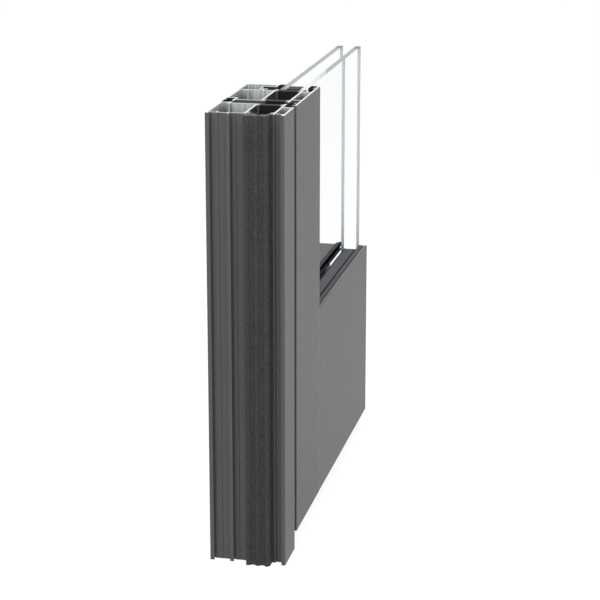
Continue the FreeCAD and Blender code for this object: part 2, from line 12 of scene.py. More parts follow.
import bmesh
import bpy
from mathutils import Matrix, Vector


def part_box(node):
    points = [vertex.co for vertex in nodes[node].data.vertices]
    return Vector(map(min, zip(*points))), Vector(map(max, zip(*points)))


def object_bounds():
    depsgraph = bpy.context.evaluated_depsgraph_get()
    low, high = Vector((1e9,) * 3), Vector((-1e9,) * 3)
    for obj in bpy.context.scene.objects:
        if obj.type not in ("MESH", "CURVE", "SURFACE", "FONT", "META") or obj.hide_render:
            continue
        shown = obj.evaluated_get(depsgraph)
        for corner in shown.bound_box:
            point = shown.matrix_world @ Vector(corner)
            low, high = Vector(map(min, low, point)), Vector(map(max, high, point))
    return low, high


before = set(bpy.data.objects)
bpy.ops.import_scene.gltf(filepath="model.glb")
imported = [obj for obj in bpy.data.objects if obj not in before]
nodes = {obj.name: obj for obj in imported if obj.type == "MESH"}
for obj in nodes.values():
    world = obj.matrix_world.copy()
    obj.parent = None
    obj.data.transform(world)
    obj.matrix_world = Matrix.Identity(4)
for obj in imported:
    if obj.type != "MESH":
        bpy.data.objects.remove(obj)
cad_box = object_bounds()
low, high = cad_box
size = high - low
middle = (low + high) / 2
print("door corner, metres:", [round(side, 4) for side in size])

# %% [markdown]
# The model leaves its pieces selected, and an operator works on whatever is selected, so
# a short helper clears the selection before each new thing. The Standard view shows each
# colour as it is written. A film look would lift the dark rubber and grey the sawn metal.

# %% Clear the selection and show plain colours
def deselect():
    """Nothing selected, so that the next operator touches only what it adds."""
    bpy.ops.object.select_all(action="DESELECT")


deselect()
bpy.context.scene.view_settings.view_transform = "Standard"
print("selected now:", len(bpy.context.selected_objects))

# %% [markdown]
# ## The camera
#
# The section is seen from the wall side, a little from outdoors and from above, with a
# long lens, so that the stile looks tall and narrow and the rail runs away to the right.
# The camera could be aimed by eye at the middle of the door. Its place was solved from
# the edges of the door instead, so it is given as it is, in metres and degrees.

# %% Place the camera
LENS_MM, FILM_MM = 119.39, 36
CAMERA_PLACE = Vector((-1.77548, -0.42643, 0.77146))
CAMERA_TURN = -77.941
LOOKS_DOWN = 15.717
LEVEL = 90

deselect()
bpy.ops.object.camera_add(
    location=CAMERA_PLACE,
    rotation=(math.radians(LEVEL - LOOKS_DOWN), 0, math.radians(CAMERA_TURN)))
camera = bpy.context.object
camera.name = "section_camera"
camera.data.lens = LENS_MM
camera.data.sensor_width = FILM_MM
camera.data.dof.use_dof = False
bpy.context.scene.camera = camera
print("camera is", round((CAMERA_PLACE - middle).length, 2), "m from the door corner")

# %% [markdown]
# ## The sky
#
# A studio picture of a sample shows it on plain white. More light would make the white,
# but it would bleach the grey coat too. So the white belongs to what the camera, the
# mirrors and the glass see: the sky asks what kind of ray has arrived, shows those white,
# and lights the surfaces with a softer grey, which also shades the grooves between the
# lips.

# %% Build the sky
WHITE = (1, 1, 1, 1)
SKY_LIGHT = 0.42


def seen_rays(tree):
    """1 for rays that look at a thing, straight, in a mirror or through glass."""
    path = tree.nodes.new("ShaderNodeLightPath")
    total = path.outputs["Is Camera Ray"]
    for name in ("Is Glossy Ray", "Is Transmission Ray"):
        larger = tree.nodes.new("ShaderNodeMath")
        larger.operation = "MAXIMUM"
        tree.links.new(total, larger.inputs[0])
        tree.links.new(path.outputs[name], larger.inputs[1])
        total = larger.outputs[0]
    return total


world = bpy.data.worlds.new("studio_sky")
bpy.context.scene.world = world
world.use_nodes = True
sky = world.node_tree
background = sky.nodes["Background"]
background.inputs["Color"].default_value = WHITE
strength = sky.nodes.new("ShaderNodeMapRange")
strength.inputs["To Min"].default_value = SKY_LIGHT
strength.inputs["To Max"].default_value = 1
sky.links.new(seen_rays(sky), strength.inputs["Value"])
sky.links.new(strength.outputs["Result"], background.inputs["Strength"])
print("the sky lights surfaces with a strength of", SKY_LIGHT)

# %% [markdown]
# ## The lamps
#
# Two large lamps overhead, one a little outdoors and one a little indoors, make the sawn
# tops bright, and a weak one lights the room side. Small lamps would draw hard shadows in
# the hollows, so these are wide squares. All hang equally far from the middle of the
# object, so that each needs only its way, its power in watts and its width in metres.

# %% Hang the lamps
LAMP_DISTANCE = 1.6
TOP_POWER, TOP_WIDTH = 7, 1.4
ROOM_POWER, ROOM_WIDTH = 2, 1.2


def hang_lamp(name, way, power, width):
    """A square lamp that faces the middle of the object from that way."""
    deselect()
    bpy.ops.object.light_add(type="AREA", location=middle + way.normalized() * LAMP_DISTANCE)
    lamp = bpy.context.object
    lamp.name = name
    lamp.rotation_euler = way.to_track_quat("Z", "Y").to_euler()
    lamp.data.size = width
    lamp.data.energy = power
    print(name, "hangs at", [round(place, 2) for place in lamp.location])


hang_lamp("outdoor_lamp", Vector((-0.5, -0.4, 1)), TOP_POWER, TOP_WIDTH)
hang_lamp("indoor_lamp", Vector((-0.4, 0.35, 1)), TOP_POWER, TOP_WIDTH)
hang_lamp("room_lamp", Vector((0.3, 1, 0.3)), ROOM_POWER, ROOM_WIDTH)

# %% [markdown]
# ## The floor
#
# The floor is a plain sheet that the jamb stands on. A white one would throw light up
# under the leaf, so its own colour is a grey, and it glows white only for the rays that
# look at it. What the grey still takes from the lamps lets the soft shadow show.

# %% Lay the floor
FLOOR_REACH = 6
FLOOR_COLOUR = (0.3, 0.3, 0.3, 1)
FLOOR_ROUGHNESS = 0.9
FLOOR_GLOW = 0.88

deselect()
bpy.ops.mesh.primitive_plane_add(size=2 * FLOOR_REACH, location=(middle.x, middle.y, low.z))
floor = bpy.context.object
floor.name = "floor"

floor_finish = bpy.data.materials.new("white_floor")
floor_finish.use_nodes = True
tree = floor_finish.node_tree
paint = tree.nodes["Principled BSDF"]
paint.inputs["Base Color"].default_value = FLOOR_COLOUR
paint.inputs["Roughness"].default_value = FLOOR_ROUGHNESS
paint.inputs["Specular IOR Level"].default_value = 0
glow = tree.nodes.new("ShaderNodeMath")
glow.operation = "MULTIPLY"
glow.inputs[1].default_value = FLOOR_GLOW
tree.links.new(seen_rays(tree), glow.inputs[0])
paint.inputs["Emission Color"].default_value = WHITE
tree.links.new(glow.outputs[0], paint.inputs["Emission Strength"])
floor.data.materials.append(floor_finish)
print("floor laid at", round(low.z, 4))

# %% [markdown]
# ## Effects that several finishes share
#
# Powder coat, rubber and plastic are all a little uneven, and drawn metal has fine lines
# along its length. The nodes for that could be built anew in every finish. Each effect is
# one node group instead, with its own inputs, so a finish only says how coarse and how
# strong it wants it. Two helpers keep the groups short: an empty group, and a single sum.

# %% Small tools for node groups
def new_group(name, numbers):
    """An empty node group with these number inputs and one Value out, and its two ends."""
    group = bpy.data.node_groups.new(name, "ShaderNodeTree")
    for title, value in numbers.items():
        socket = group.interface.new_socket(title, in_out="INPUT", socket_type="NodeSocketFloat")
        socket.default_value = value
    group.interface.new_socket("Value", in_out="OUTPUT", socket_type="NodeSocketFloat")
    inside = group.nodes.new("NodeGroupInput")
    outside = group.nodes.new("NodeGroupOutput")
    return group, inside, outside


def add_math(tree, operation, first, second):
    """One sum between two sockets or numbers."""
    node = tree.nodes.new("ShaderNodeMath")
    node.operation = operation
    for socket, value in zip(node.inputs, (first, second)):
        if isinstance(value, (int, float)):
            socket.default_value = value
        else:
            tree.links.new(value, socket)
    return node.outputs[0]


print("shared effects so far:", len(bpy.data.node_groups))

# %% [markdown]
# ### Grain
#
# Powder, rubber and glass-filled plastic have a mottle of two sizes: a fine speckle, and
# soft patches many times larger. Small bumps in the mesh would cost millions of faces, so
# the speckle is a noise texture. It reads Object coordinates, which keeps it still on the
# piece and gives it a real size, in speckles a metre.

# %% Build the grain
PATCH_SCALE = 0.06
GRAIN_DETAIL = 2
MEAN_NOISE = 0.5


def build_grain():
    """Two sizes of speckle. Out comes a value around 0 that swings by Amount."""
    group, inside, outside = new_group("grain", {"Per Metre": 900, "Amount": 0.1, "Patches": 0.3})
    place = group.nodes.new("ShaderNodeTexCoord").outputs["Object"]
    values = []
    for share in (1, PATCH_SCALE):
        noise = group.nodes.new("ShaderNodeTexNoise")
        noise.inputs["Detail"].default_value = GRAIN_DETAIL
        group.links.new(place, noise.inputs["Vector"])
        scale = add_math(group, "MULTIPLY", inside.outputs["Per Metre"], share)
        group.links.new(scale, noise.inputs["Scale"])
        values.append(add_math(group, "SUBTRACT", noise.outputs["Fac"], MEAN_NOISE))
    patches = add_math(group, "MULTIPLY", values[1], inside.outputs["Patches"])
    mottle = add_math(group, "ADD", values[0], patches)
    swing = add_math(group, "MULTIPLY", mottle, inside.outputs["Amount"])
    group.links.new(swing, outside.inputs["Value"])
    return group


GRAIN = build_grain()
print("grain has", len(GRAIN.nodes), "nodes")


# %% [markdown]
# ### Die lines
#
# The die that shapes aluminium leaves fine streaks all along its length. The same noise
# makes them once its coordinates are squeezed along that length: it then hardly changes
# along the section and changes fast across it. A wave texture would look too even. An
# input says whether the length runs up the stile or along the rail.

# %% Build the die lines
LINE_STRETCH = 0.004
LINE_DETAIL, LINE_ROUGHNESS = 3, 0.65


def build_die_lines():
    """Streaks along X or Z: noise squeezed across the length and stretched along it."""
    group, inside, outside = new_group(
        "die_lines", {"Per Metre": 700, "Amount": 0.1, "Along Rail": 0})
    place = group.nodes.new("ShaderNodeTexCoord").outputs["Object"]
    split = group.nodes.new("ShaderNodeSeparateXYZ")
    group.links.new(place, split.inputs[0])
    join = group.nodes.new("ShaderNodeCombineXYZ")
    rail = inside.outputs["Along Rail"]
    for axis, flat in (("X", rail), ("Z", add_math(group, "SUBTRACT", 1, rail))):
        lost = add_math(group, "MULTIPLY", flat, 1 - LINE_STRETCH)
        squeeze = add_math(group, "SUBTRACT", 1, lost)
        group.links.new(add_math(group, "MULTIPLY", split.outputs[axis], squeeze), join.inputs[axis])
    group.links.new(split.outputs["Y"], join.inputs["Y"])
    noise = group.nodes.new("ShaderNodeTexNoise")
    noise.inputs["Detail"].default_value = LINE_DETAIL
    noise.inputs["Roughness"].default_value = LINE_ROUGHNESS
    group.links.new(join.outputs[0], noise.inputs["Vector"])
    group.links.new(inside.outputs["Per Metre"], noise.inputs["Scale"])
    centred = add_math(group, "SUBTRACT", noise.outputs["Fac"], MEAN_NOISE)
    group.links.new(add_math(group, "MULTIPLY", centred, inside.outputs["Amount"]),
                    outside.inputs["Value"])
    return group


DIE_LINES = build_die_lines()
print("die lines have", len(DIE_LINES.nodes), "nodes")


# %% [markdown]
# ### A mask at a plane
#
# Some finishes change at a straight line: a sawn end has a grey strip along one side, and
# a hollow takes a painted shade that grows inward. The faces could be cut there, but a
# solid's mesh stays as it is, so a mask does it. It is 0 before a plane and 1 past it, and
# its inputs say where the plane lies, which way it looks and how wide its soft edge is.

# %% Build the mask
SHARP = 0.0005
HALF_WAY = 0.5


def build_past_plane():
    """0 before a plane and 1 past it. Along X, Y and Z say which way the plane looks."""
    group, inside, outside = new_group(
        "past_plane", {"Along X": 0, "Along Y": 0, "Along Z": 0, "Place": 0, "Blur": SHARP})
    place = group.nodes.new("ShaderNodeTexCoord").outputs["Object"]
    split = group.nodes.new("ShaderNodeSeparateXYZ")
    group.links.new(place, split.inputs[0])
    reach = 0
    for axis in "XYZ":
        share = add_math(group, "MULTIPLY", split.outputs[axis], inside.outputs["Along " + axis])
        reach = add_math(group, "ADD", reach, share)
    gone = add_math(group, "SUBTRACT", reach, inside.outputs["Place"])
    step = add_math(group, "DIVIDE", gone, inside.outputs["Blur"])
    mask = group.nodes.new("ShaderNodeClamp")
    group.links.new(add_math(group, "ADD", step, HALF_WAY), mask.inputs["Value"])
    group.links.new(mask.outputs[0], outside.inputs["Value"])
    return group


PAST_PLANE = build_past_plane()
print("shared effects:", [group.name for group in bpy.data.node_groups])


# %% [markdown]
# ## Finishes
#
# A finish is a Principled shader with its constant numbers on its own sockets. Shared
# effects only nudge its colour, its roughness and its bump, and each takes its own
# numbers by the titles of its inputs.

# %% Start a finish
def new_finish(name, colour, roughness, metallic=0.0, specular=0.5):
    """A material with a plain Principled shader."""
    finish = bpy.data.materials.new(name)
    finish.use_nodes = True
    shader = finish.node_tree.nodes["Principled BSDF"]
    shader.inputs["Base Color"].default_value = (*colour, 1)
    shader.inputs["Roughness"].default_value = roughness
    shader.inputs["Metallic"].default_value = metallic
    shader.inputs["Specular IOR Level"].default_value = specular
    return finish, finish.node_tree, shader


def add_effect(tree, group, **numbers):
    """One of the shared effects, with this finish's own numbers."""
    node = tree.nodes.new("ShaderNodeGroup")
    node.node_tree = group
    for title, value in numbers.items():
        node.inputs[title.replace("_", " ")].default_value = value
    return node.outputs["Value"]


print("finishes so far:", len(bpy.data.materials))

# %% [markdown]
# A Mix node lays one colour over another through a mask. It has a set of sockets for each
# kind of data, under the same titles, so those for colours are found by their numbers.
# Bands are laid one after the other, and the last one lies on top.

# %% Lay one colour over another
MIX_FACTOR, MIX_BELOW, MIX_ABOVE, MIX_RESULT = 0, 6, 7, 2


def lay_over(tree, below, above, mask):
    """One colour, with another laid over it where the mask is 1."""
    mix = tree.nodes.new("ShaderNodeMix")
    mix.data_type = "RGBA"
    tree.links.new(mask, mix.inputs[MIX_FACTOR])
    for number, colour in ((MIX_BELOW, below), (MIX_ABOVE, above)):
        if isinstance(colour, tuple):
            mix.inputs[number].default_value = (*colour, 1)
        else:
            tree.links.new(colour, mix.inputs[number])
    return mix.outputs[MIX_RESULT]


def lay_bands(tree, colour, bands):
    """The colour with bands over it. A band is a colour, the way in which it lies along X
    and Y, the place where it starts and the width of its soft edge."""
    for band, along_x, along_y, start, blur in bands:
        mask = add_effect(tree, PAST_PLANE, Along_X=along_x, Along_Y=along_y, Place=start, Blur=blur)
        colour = lay_over(tree, colour, band, mask)
    return colour


print("a Mix node takes its colours in sockets", MIX_BELOW, "and", MIX_ABOVE)

# %% [markdown]
# Every effect speaks of a swing: a number around 0 by which a thing is made more or less.
# The colour is scaled by it, so a dark finish swings less than a light one, the roughness
# may move with it, and a bump raises the surface where it is high.

# %% Let a swing change a finish
def add_painted_shade(tree, swing, share, *masks):
    """The swing of a finish darkened by painted shade, by a share where every mask is 1."""
    lost = share
    for mask in masks:
        lost = add_math(tree, "MULTIPLY", mask, lost)
    kept = add_math(tree, "SUBTRACT", 1, lost)
    left = add_math(tree, "MULTIPLY", add_math(tree, "ADD", swing, 1), kept)
    return add_math(tree, "SUBTRACT", left, 1)


def tint(tree, shader, colour, swing):
    """The colour made lighter and darker by a swing."""
    scale = tree.nodes.new("ShaderNodeVectorMath")
    scale.operation = "SCALE"
    if isinstance(colour, tuple):
        scale.inputs[0].default_value = colour
    else:
        tree.links.new(colour, scale.inputs[0])
    tree.links.new(add_math(tree, "ADD", swing, 1), scale.inputs["Scale"])
    tree.links.new(scale.outputs[0], shader.inputs["Base Color"])


def roughen(tree, shader, roughness, swing, share):
    """The roughness moved by a share of a swing."""
    change = add_math(tree, "MULTIPLY", swing, share)
    tree.links.new(add_math(tree, "ADD", change, roughness), shader.inputs["Roughness"])


def emboss(tree, shader, height, depth):
    """A bump of that depth in metres."""
    bump = tree.nodes.new("ShaderNodeBump")
    bump.inputs["Distance"].default_value = depth
    tree.links.new(height, bump.inputs["Height"])
    tree.links.new(bump.outputs["Normal"], shader.inputs["Normal"])


print("a swing works through", [helper.__name__ for helper in (add_painted_shade, tint, roughen, emboss)])

# %% [markdown]
# ### Powder coat
#
# The faces that people see are coated in a matt mid grey. The powder melts into a skin
# with a very fine orange peel, and its colour is even, so the grain is kept weak. Darker
# greys of the same coat are painted shade: on the edges that look into the glass opening,
# on the rail's bead, on the web beside the thermal break and on the stile bead's sides.

# %% Mix the powder coat
COAT_COLOUR = (0.16, 0.16, 0.161)
# The three darker greys below are painted shade on the same coat.
LIP_SHADE_COAT_COLOUR = (0.13, 0.13, 0.132)
BEAD_SHADE_COAT_COLOUR = (0.074, 0.076, 0.08)
BREAK_SHADE_COAT_COLOUR = (0.045, 0.045, 0.045)
COAT_ROUGHNESS = 0.5


def mix_powder_coat(name, colour):
    """A matt coat with a fine orange peel."""
    finish, tree, shader = new_finish(name, colour, COAT_ROUGHNESS)
    peel = add_effect(tree, GRAIN, Per_Metre=1100, Amount=0.12, Patches=0.5)
    tint(tree, shader, colour, peel)
    roughen(tree, shader, COAT_ROUGHNESS, peel, share=0.8)
    emboss(tree, shader, peel, depth=0.0002)
    return finish


POWDER_COAT = mix_powder_coat("grey_powder_coat", COAT_COLOUR)
LIP_SHADE_COAT = mix_powder_coat("grey_coat_lip_painted_shade", LIP_SHADE_COAT_COLOUR)
BEAD_SHADE_COAT = mix_powder_coat("grey_coat_bead_painted_shade", BEAD_SHADE_COAT_COLOUR)
BREAK_SHADE_COAT = mix_powder_coat("grey_coat_break_painted_shade", BREAK_SHADE_COAT_COLOUR)
print("the powder coat reflects", COAT_COLOUR[0], "of the light")

# %% [markdown]
# ### Bare aluminium
#
# The hollows are as the die left them: a faintly green-grey metal with lines along the
# length. Painted shade keeps it bright near the saw cut and darker further in, and a
# narrow hollow darker sooner than a wide one. On the far wall of a wide hollow, the one
# nearest to the glass, stands a small nib. Painted shade darkens the wall towards the nib
# and past it on the room side, and most in the corner on the nib's outdoor side. The nib's
# tip is a darker painted shade and its own side a painted highlight. Light that bounces in
# a deep hollow is slow to render and noisy, so this fall of light is painted with masks.

# %% Shade the walls of a hollow
NIB_FROM_ROOM = 0.0105
NIB_LINE = high.y - NIB_FROM_ROOM
NIB_SHADE, NIB_SHADE_DEPTH = 0.005, 0.008
CORNER_START, CORNER_END = 0.0016, 0.0004


def inward(tree, depth):
    """A mask that grows from 0 at the sawn top to 1 that deep in a hollow."""
    return add_effect(tree, PAST_PLANE, Along_Z=-1, Place=depth / 2 - high.z, Blur=depth)


def add_painted_shade_at_nib(tree, shade, behind, corner):
    """Painted shade on a far wall: darker towards the nib and past it by the share
    behind, most of it further in, and in the corner beside it by the share corner."""
    near_nib = add_effect(tree, PAST_PLANE, Along_Y=1, Place=NIB_LINE - NIB_SHADE / 2, Blur=NIB_SHADE)
    deeper = inward(tree, NIB_SHADE_DEPTH)
    shade = add_painted_shade(tree, add_painted_shade(tree, shade, behind / 2, near_nib), behind, near_nib, deeper)
    past_start = add_effect(tree, PAST_PLANE, Along_Y=1, Place=NIB_LINE - CORNER_START)
    before_end = add_effect(tree, PAST_PLANE, Along_Y=-1, Place=CORNER_END - NIB_LINE)
    return add_painted_shade(tree, shade, corner, past_start, before_end)


print("the nibs stand at y =", round(NIB_LINE, 4))

# %% [markdown]
# One function draws all the bare metal. The walls along a hollow reflect like metal. The
# far walls face the light, and a paler, less metallic copy of the same metal is painted
# light that holds them bright.

# %% Draw the aluminium
MILL_COLOUR = (0.70, 0.745, 0.75)
# The paler colour for the far walls is painted light.
FAR_PAINTED_LIGHT_COLOUR = (0.93, 0.99, 1.0)
# The darker nib tip colour is painted shade, and the near-white nib side a painted highlight.
NIB_TIP_PAINTED_SHADE_COLOUR = (0.60, 0.63, 0.635)
NIB_SIDE_PAINTED_HIGHLIGHT_COLOUR = (0.97, 0.99, 0.99)
WIDE_HOLLOW_SHADE_DEPTH, NARROW_HOLLOW_SHADE_DEPTH = 0.012, 0.006
MILL_ROUGHNESS = 0.4


def mix_mill_aluminium(name, colour, metallic, along_rail=0, streaks=0.9, hollow=0, deep=0.3,
                       behind=0, corner=0):
    """Drawn metal. A hollow's width says how far in painted shade darkens it, and deep how
    much. Behind and corner say how much painted shade lies about a nib."""
    finish, tree, shader = new_finish("mill_aluminium_" + name, colour, MILL_ROUGHNESS, metallic)
    lines = add_effect(tree, DIE_LINES, Per_Metre=600, Amount=streaks, Along_Rail=along_rail)
    shade = lines
    if hollow:
        shade = add_painted_shade(tree, shade, deep, inward(tree, hollow))
    if behind:
        shade = add_painted_shade_at_nib(tree, shade, behind, corner)
    tint(tree, shader, colour, shade)
    roughen(tree, shader, MILL_ROUGHNESS, lines, share=0.3)
    emboss(tree, shader, lines, depth=0.0001)
    return finish


# Each finish below that is given a hollow width is darkened inward by painted shade.
MILL_UPRIGHT = mix_mill_aluminium("upright", MILL_COLOUR, metallic=0.7, hollow=WIDE_HOLLOW_SHADE_DEPTH)
MILL_JAMB = mix_mill_aluminium("jamb_far", FAR_PAINTED_LIGHT_COLOUR, metallic=0.3, streaks=1.2,
                               hollow=WIDE_HOLLOW_SHADE_DEPTH, behind=0.4, corner=0.6)
MILL_STILE = mix_mill_aluminium("stile_far", FAR_PAINTED_LIGHT_COLOUR, metallic=0.3, streaks=1.4,
                                hollow=WIDE_HOLLOW_SHADE_DEPTH, behind=0.4, corner=0.1)
MILL_BEAD = mix_mill_aluminium("bead", FAR_PAINTED_LIGHT_COLOUR, metallic=0.3, streaks=1.4, hollow=NARROW_HOLLOW_SHADE_DEPTH)
MILL_NARROW = mix_mill_aluminium("narrow", MILL_COLOUR, metallic=0.9, hollow=NARROW_HOLLOW_SHADE_DEPTH, deep=0.5)
MILL_NARROW_FAR = mix_mill_aluminium("narrow_far", FAR_PAINTED_LIGHT_COLOUR, metallic=0.2,
                                     hollow=NARROW_HOLLOW_SHADE_DEPTH, deep=0.8)
# The nib's tip takes painted shade and its side a painted highlight.
MILL_TIP_PAINTED_SHADE = mix_mill_aluminium("nib_tip_painted_shade", NIB_TIP_PAINTED_SHADE_COLOUR, metallic=0.1, streaks=0.2)
MILL_NIB_PAINTED_HIGHLIGHT = mix_mill_aluminium("nib_side_painted_highlight", NIB_SIDE_PAINTED_HIGHLIGHT_COLOUR, metallic=0, streaks=0.2)
MILL_RAIL = mix_mill_aluminium("rail", MILL_COLOUR, metallic=0.9, along_rail=1)
print("bare metal finishes:", sum("mill" in finish.name for finish in bpy.data.materials))

# %% [markdown]
# ### Sawn ends
#
# The saw leaves the ends almost white, with a fine mottle of its own. Only the thin lips
# on the wall side and the near wall of the stile's bead stay grey there, where the coat
# has run over the cut. They are bands on the same finish, because each shell's cut is one
# flat face. The band of the lips stops at the outdoor face, whose wall is white again.

# %% Saw the ends
SAWN_COLOUR = (0.95, 0.95, 0.95)
SAWN_ROUGHNESS = 0.4
LIP_COLOUR = (0.27, 0.27, 0.27)
LIP_DEPTH = 0.0035
FACE_WALL = 0.002
BEAD_WALL_COLOUR = (0.16, 0.155, 0.15)
BEAD_WALL = 0.0016


def mix_sawn_aluminium(name, bands=()):
    """A sawn end, nearly white, with bands of another colour."""
    finish, tree, shader = new_finish(name, SAWN_COLOUR, SAWN_ROUGHNESS, metallic=0.3)
    marks = add_effect(tree, GRAIN, Per_Metre=2500, Amount=0.12, Patches=0.4)
    tint(tree, shader, lay_bands(tree, SAWN_COLOUR, bands), marks)
    emboss(tree, shader, marks, depth=0.00005)
    return finish


wall_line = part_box("jamb_inner_shell")[0].x
bead_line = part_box("stile_bead")[0].x
SAWN_ALUMINIUM = mix_sawn_aluminium("sawn_aluminium")
SAWN_JAMB = mix_sawn_aluminium("sawn_jamb_aluminium", bands=(
    (LIP_COLOUR, -1, 0, -wall_line - LIP_DEPTH, SHARP),
    (SAWN_COLOUR, 0, -1, -low.y - FACE_WALL, SHARP)))
SAWN_BEAD = mix_sawn_aluminium("sawn_bead_aluminium", bands=(
    (BEAD_WALL_COLOUR, -1, 0, -bead_line - BEAD_WALL, SHARP),))
print("grey lips end at x =", round(wall_line + LIP_DEPTH, 4))


# %% [markdown]
# ### Plastic strips
#
# The strips that part the outdoor metal from the indoor metal are polyamide filled with
# glass fibre: black and matt. The toothed strip on the wall side is rougher and greyer,
# with a strong grain that the light picks out. Where the saw went through, both turn
# lighter, apart from the toothed strip's legs behind its plate. One function with a few
# numbers serves them all, and the rubbers after them.

# %% Mix the plastics
STRIP_COLOUR = (0.014, 0.014, 0.015)
TOOTHED_COLOUR = (0.094, 0.094, 0.095)
SAWN_STRIP_COLOUR = (0.038, 0.038, 0.04)
SAWN_TOOTHED_COLOUR = (0.11, 0.11, 0.112)
SAWN_LEG_COLOUR = (0.05, 0.05, 0.051)
PLATE_DEPTH = 0.0095
PLASTIC_ROUGHNESS = 0.65


def mix_plastic(name, colour, per_metre, amount, depth, patches=0.6, specular=0.3, bands=()):
    """A matt plastic or rubber with a grain that fine, that strong and that deep."""
    finish, tree, shader = new_finish(name, colour, PLASTIC_ROUGHNESS, specular=specular)
    grain = add_effect(tree, GRAIN, Per_Metre=per_metre, Amount=amount, Patches=patches)
    tint(tree, shader, lay_bands(tree, colour, bands), grain)
    emboss(tree, shader, grain, depth)
    return finish


STRIP = mix_plastic("black_polyamide", STRIP_COLOUR, per_metre=1500, amount=0.6, depth=0.00005)
SAWN_STRIP = mix_plastic("sawn_black_polyamide", SAWN_STRIP_COLOUR, per_metre=2500, amount=0.8,
                         depth=0.00005)
TOOTHED = mix_plastic("grainy_polyamide", TOOTHED_COLOUR, per_metre=1300, amount=3.2, depth=0.0002,
                      patches=0.1)
SAWN_TOOTHED = mix_plastic("sawn_grainy_polyamide", SAWN_TOOTHED_COLOUR, per_metre=1500, amount=1.0,
                           depth=0.00005,
                           bands=((SAWN_LEG_COLOUR, 1, 0, low.x + PLATE_DEPTH, 2 * SHARP),))
print("the toothed strip's plate ends at x =", round(low.x + PLATE_DEPTH, 4))


# %% [markdown]
# ### Rubber
#
# The gaskets are soft black rubber. Where they are cut they are blacker still, and their
# tops, which look into the glass opening, are made lighter by painted light: the outdoor
# one more than the indoor one. Rubber has little gloss, and the cut has almost none.

# %% Mix the rubbers
RUBBER_COLOUR = (0.018, 0.018, 0.019)
BLACK = (0.003, 0.003, 0.003)
# The two lighter tops below are painted light on the same black rubber.
INNER_TOP_PAINTED_LIGHT_COLOUR = (0.023, 0.024, 0.026)
OUTER_TOP_PAINTED_LIGHT_COLOUR = (0.075, 0.075, 0.077)

RUBBER = mix_plastic("black_rubber", RUBBER_COLOUR, per_metre=700, amount=0.5, depth=0.00008)
RUBBER_CUT = mix_plastic("cut_rubber", BLACK, per_metre=700, amount=0.5, depth=0.00005,
                         specular=0.03)
INNER_TOP = mix_plastic("inner_rubber_top_painted_light", INNER_TOP_PAINTED_LIGHT_COLOUR, per_metre=700, amount=0.5,
                        depth=0.00008, specular=0.2)
OUTER_TOP = mix_plastic("outer_rubber_top_painted_light", OUTER_TOP_PAINTED_LIGHT_COLOUR, per_metre=1500, amount=0.7,
                        depth=0.00008)
print("rubber finishes:", sum("rubber" in finish.name for finish in bpy.data.materials))

# %% [markdown]
# ### Spacer and sealant
#
# A dark blue-grey bar keeps the panes apart. It is pressed to both panes on black butyl,
# which is squeezed out over the bar's sides as a line along either pane, with sealant
# behind it. The bar is folded from sheet, so its cut top shows a black fold, and a bright
# edge where the sheet ends. All this lies under the glass, where modelled threads of
# butyl could not be told from painted ones, so they are bands.

# %% Mix the spacer and the sealants
SPACER_COLOUR = (0.096, 0.099, 0.107)
SPACER_CUT_COLOUR = (0.05, 0.051, 0.055)
SPACER_EDGE_COLOUR = (0.6, 0.6, 0.6)
SEALANT_COLOUR = (0.012, 0.012, 0.013)
FOLD_START, FOLD_END, SHEET_END = 0.0035, 0.006, 0.0127
SQUEEZED_INDOORS, SQUEEZED_OUTDOORS = 0.0012, 0.0018
spacer_start, spacer_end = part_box("spacer_bar")

SEALANT = mix_plastic("black_sealant", SEALANT_COLOUR, per_metre=300, amount=0.5, depth=0.0003)
BUTYL = mix_plastic("black_butyl", BLACK, per_metre=300, amount=0.5, depth=0.0002, specular=0.05)
SPACER = mix_plastic("blue_grey_spacer", SPACER_COLOUR, per_metre=1200, amount=0.2, depth=0.00003,
                     specular=0.05, bands=(
                         (BLACK, 0, 1, spacer_end.y - SQUEEZED_INDOORS, SHARP),
                         (BLACK, 0, -1, -spacer_start.y - SQUEEZED_OUTDOORS, SHARP)))
SPACER_CUT = mix_plastic("cut_spacer", SPACER_CUT_COLOUR, per_metre=1200, amount=0.3, depth=0.00003,
                         bands=((BLACK, 1, 0, spacer_start.x + FOLD_START, SHARP),
                                (SPACER_CUT_COLOUR, 1, 0, spacer_start.x + FOLD_END, SHARP),
                                (SPACER_EDGE_COLOUR, 1, 0, spacer_start.x + SHEET_END, SHARP)))
print("the spacer is", round(spacer_end.y - spacer_start.y, 4), "m wide")


# %% [markdown]
# ### Glass
#
# The panes are seen almost edge on, and what lies behind them is hardly moved or veiled.
# A full glass shader would mirror the white floor and grey the view, so the finish only
# passes light on and bends it a little. Lamps shine through: for shadow rays the glass is
# left out.

# %% Mix the glass
GLASS_COLOUR = (0.985, 0.988, 0.991)
GLASS_BEND = 1.03


def mix_glass():
    """Glass that only passes light on, bent a little."""
    finish, tree, shader = new_finish("clear_glass", GLASS_COLOUR, roughness=0)
    tree.nodes.remove(shader)
    bend = tree.nodes.new("ShaderNodeBsdfRefraction")
    bend.inputs["Color"].default_value = (*GLASS_COLOUR, 1)
    bend.inputs["Roughness"].default_value = 0
    bend.inputs["IOR"].default_value = GLASS_BEND
    passed = tree.nodes.new("ShaderNodeBsdfTransparent")
    path = tree.nodes.new("ShaderNodeLightPath")
    mix = tree.nodes.new("ShaderNodeMixShader")
    tree.links.new(path.outputs["Is Shadow Ray"], mix.inputs[0])
    tree.links.new(bend.outputs[0], mix.inputs[1])
    tree.links.new(passed.outputs[0], mix.inputs[2])
    tree.links.new(mix.outputs[0], tree.nodes["Material Output"].inputs["Surface"])
    return finish


GLASS = mix_glass()
print("glass bends by", GLASS_BEND)

